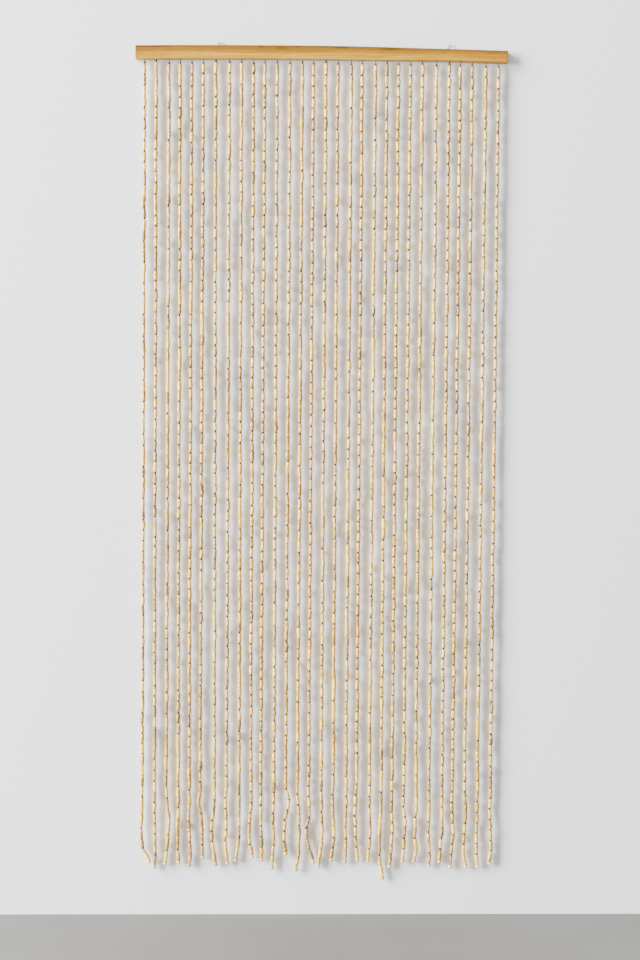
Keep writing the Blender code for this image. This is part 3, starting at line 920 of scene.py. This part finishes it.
# %% Hanger sizes
POCKET_DEPTH = 4.2 * MM
SCREW_DROP = 8.5 * MM                   # the screw, below the wire in the fold
RING_WIRE = 0.9 * MM
RING_BASE_WIDTH = 20 * MM
RING_TOP_WIDTH = 14 * MM
RING_HEIGHT = 16 * MM
RING_CORNER = 3 * MM
SHEET = 0.45 * MM
STRAP_WIDTH = 10 * MM
STRAP_TAIL = 5.5 * MM                   # below the screw
STRAP_LIFT = 0.3 * MM                   # air between the pocket's floor and the sheet
LAYER_GAP = 0.1 * MM                    # between the two layers of the folded sheet
FRONT_SHORTER = 0.6 * MM                # the front layer ends this far above the back one
FOLD_STRAIGHT = 1.5 * MM                # below the fold, where the front layer lies flat again
FOLD_RADIUS = 1.6 * MM                  # to the middle of the sheet
FOLD_OUT = 2.2 * MM                     # the wire's middle, over the pocket's floor
BURR = 0.1 * MM                         # how far the sheet's cut edges are rounded
HEAD_GAP = 0.2 * MM                     # between the strap and the screw's head
HEAD_TURN = 60                          # degrees either way that a slot may stand
OUTWARDS = Vector((0, 1, 0))            # out of the rail's back, to the wall


def hanger_frame(side):
    """Where the screw goes in, turned as the hanger is: X across, Y out to the wall, Z to the ring."""
    screw_low, screw_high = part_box("hanger_screw_" + side)
    ring_low, ring_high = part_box("hanger_ring_" + side)
    screw_at, ring_at = (screw_low + screw_high) / 2, (ring_low + ring_high) / 2
    turn = math.atan2(ring_at.x - screw_at.x, ring_at.z - screw_at.z)
    place = Matrix.Translation((screw_at.x, -POCKET_DEPTH, screw_at.z))
    return place @ Matrix.Rotation(turn, 4, "Y")


print("two layers of sheet:", round((2 * SHEET + LAYER_GAP) / MM, 2), "mm")


# %% Ring
def ring_line(steps=7):
    """The ring's middle line: a trapezoid with round corners, its straight bar in the fold."""
    corners = [Vector((-RING_BASE_WIDTH / 2, 0)), Vector((RING_BASE_WIDTH / 2, 0)),
               Vector((RING_TOP_WIDTH / 2, RING_HEIGHT)), Vector((-RING_TOP_WIDTH / 2, RING_HEIGHT))]
    line = []
    for index, corner in enumerate(corners):
        start = corner + (corners[index - 1] - corner).normalized() * RING_CORNER
        end = corner + (corners[(index + 1) % 4] - corner).normalized() * RING_CORNER
        for step in range(steps):
            t = step / (steps - 1)
            bend = start * (1 - t) ** 2 + corner * 2 * t * (1 - t) + end * t * t
            line.append(Vector((bend.x, FOLD_OUT, SCREW_DROP + bend.y)))
    return line


def ring_mesh(name, sides=14):
    """A round wire swept along the ring's line."""
    line = ring_line()
    angles = [2 * math.pi * k / sides for k in range(sides)]
    points = []
    for index, here in enumerate(line):
        along = (line[(index + 1) % len(line)] - line[index - 1]).normalized()
        out = along.cross(OUTWARDS)
        points += [here + (out * math.cos(a) - OUTWARDS * math.sin(a)) * RING_WIRE for a in angles]
    return smooth_mesh(name, np.array(points), loft_faces(1, len(line), sides, closed=True).tolist())


# %% Strap
def strap_line(steps=14):
    """The folded sheet from the side, in Y and Z: up the pocket's floor, round the wire, down again."""
    back = STRAP_LIFT + SHEET / 2
    front = back + SHEET + LAYER_GAP
    line = [(back, -STRAP_TAIL), (back, SCREW_DROP * 0.5)]
    close = math.acos((FOLD_OUT - front) / FOLD_RADIUS)
    for step in range(steps + 1):
        angle = math.pi - (2 * math.pi - close) * step / steps
        out, up = FOLD_RADIUS * math.cos(angle), FOLD_RADIUS * math.sin(angle)
        line.append((FOLD_OUT + out, SCREW_DROP + up))
    line += [(front, SCREW_DROP - FOLD_RADIUS - FOLD_STRAIGHT), (front, FRONT_SHORTER - STRAP_TAIL)]
    return line


def strap_mesh(name):
    """The strap's line, widened to a strip."""
    line = strap_line()
    half = STRAP_WIDTH / 2
    points = [(x, y, z) for y, z in line for x in (-half, half)]
    faces = [(2 * i, 2 * i + 1, 2 * i + 3, 2 * i + 2) for i in range(len(line) - 1)]
    return new_mesh(name, points, faces)


# %% Screw
SCREW_HEAD_RADIUS = 2.8 * MM
SCREW_HEAD_HEIGHT = 1.5 * MM
SCREW_SHANK_RADIUS = 1.3 * MM
SCREW_LENGTH = 10 * MM
SLOT_WIDTH = 0.8 * MM
SLOT_DEPTH = 0.8 * MM
THREAD_PITCH = 1.2 * MM
THREAD_DEPTH = 0.35 * MM
SHARP_EDGE = math.radians(35)


def screw_profile():
    """Half the screw's outline, from the top of the head down to the point: (radius, height)."""
    head = [(SCREW_HEAD_RADIUS * math.sin(a), SCREW_HEAD_HEIGHT * math.cos(a))
            for a in (math.pi / 2 * k / 6 for k in range(7))]
    outline = head + [(SCREW_SHANK_RADIUS, -0.15 * MM)]
    turns = int(SCREW_LENGTH * 0.7 / THREAD_PITCH)
    for turn in range(turns):
        height = -1.5 * MM - turn * THREAD_PITCH
        outline += [(SCREW_SHANK_RADIUS - THREAD_DEPTH, height),
                    (SCREW_SHANK_RADIUS, height - THREAD_PITCH * 0.45)]
    outline.append((0.0, -SCREW_LENGTH))
    return outline


def screw_mesh(name, sides=28):
    """The turned screw with its slot, laid along Y with the head outwards."""
    outline = [(radius, 0, height) for radius, height in screw_profile()]
    edges = [(i, i + 1) for i in range(len(outline) - 1)]
    screw = add_object(name + "_turning", new_mesh(name + "_body", outline, [], edges))
    lathe = screw.modifiers.new("lathe", "SCREW")
    lathe.steps = lathe.render_steps = sides
    lathe.use_merge_vertices = True
    lathe.merge_threshold = 0.00001
    slot = add_object(name + "_slot", slot_mesh(name + "_slot"))
    cut = screw.modifiers.new("slot", "BOOLEAN")
    cut.object = slot
    bpy.context.view_layer.update()
    mesh = bpy.data.meshes.new_from_object(screw.evaluated_get(bpy.context.evaluated_depsgraph_get()))
    mesh.transform(Matrix.Rotation(-math.pi / 2, 4, "X"))
    mesh.name = name
    for used in (screw, slot):
        bpy.data.objects.remove(used)
    return mesh


def slot_mesh(name):
    """The block that cuts the slot into the screw's head."""
    half, wide = SLOT_WIDTH / 2, SCREW_HEAD_RADIUS * 1.5
    low, high = SCREW_HEAD_HEIGHT - SLOT_DEPTH, SCREW_HEAD_HEIGHT * 2
    corners = [(x, y, z) for z in (low, high) for y in (-half, half) for x in (-wide, wide)]
    return new_mesh(name, corners, [(0, 2, 3, 1), (4, 5, 7, 6), (0, 1, 5, 4),
                                    (2, 6, 7, 3), (0, 4, 6, 2), (1, 3, 7, 5)])


# %% Both hangers
for side in ("left", "right"):
    place = hanger_frame(side)
    screw_at = place @ Matrix.Translation((0, STRAP_LIFT + 2 * SHEET + HEAD_GAP, 0))
    screw_at = screw_at @ Matrix.Rotation(math.radians(chance.uniform(-HEAD_TURN, HEAD_TURN)), 4, "Y")
    made = {}
    for part, make_mesh, part_at in (("ring", ring_mesh, place), ("strap", strap_mesh, place),
                                     ("screw", screw_mesh, screw_at)):
        name = part + "_" + side
        made[part] = add_piece(name, make_mesh(name), zinc, ["hanger_" + name], part_at)
    strap = made["strap"]
    sheet = strap.modifiers.new("sheet", "SOLIDIFY")
    sheet.thickness = SHEET
    sheet.offset = 0.0
    edge = strap.modifiers.new("edge", "BEVEL")
    edge.width = BURR
    edge.segments = 2
    strap.data.shade_smooth()
    made["screw"].data.set_sharp_from_angle(angle=SHARP_EDGE)

# %% [markdown]
# ## Counting triangles
#
# Two thousand sticks add up, so the triangles are counted before the end.

# %% Triangles
shown = [o for o in bpy.data.objects if o.type == "MESH" and not o.hide_render and "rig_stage" not in o]
triangles = {o.name: sum(len(p.vertices) - 2 for p in o.data.polygons) for o in shown}
print("triangles in all:", sum(triangles.values()), "most in one piece:", max(triangles.values()))
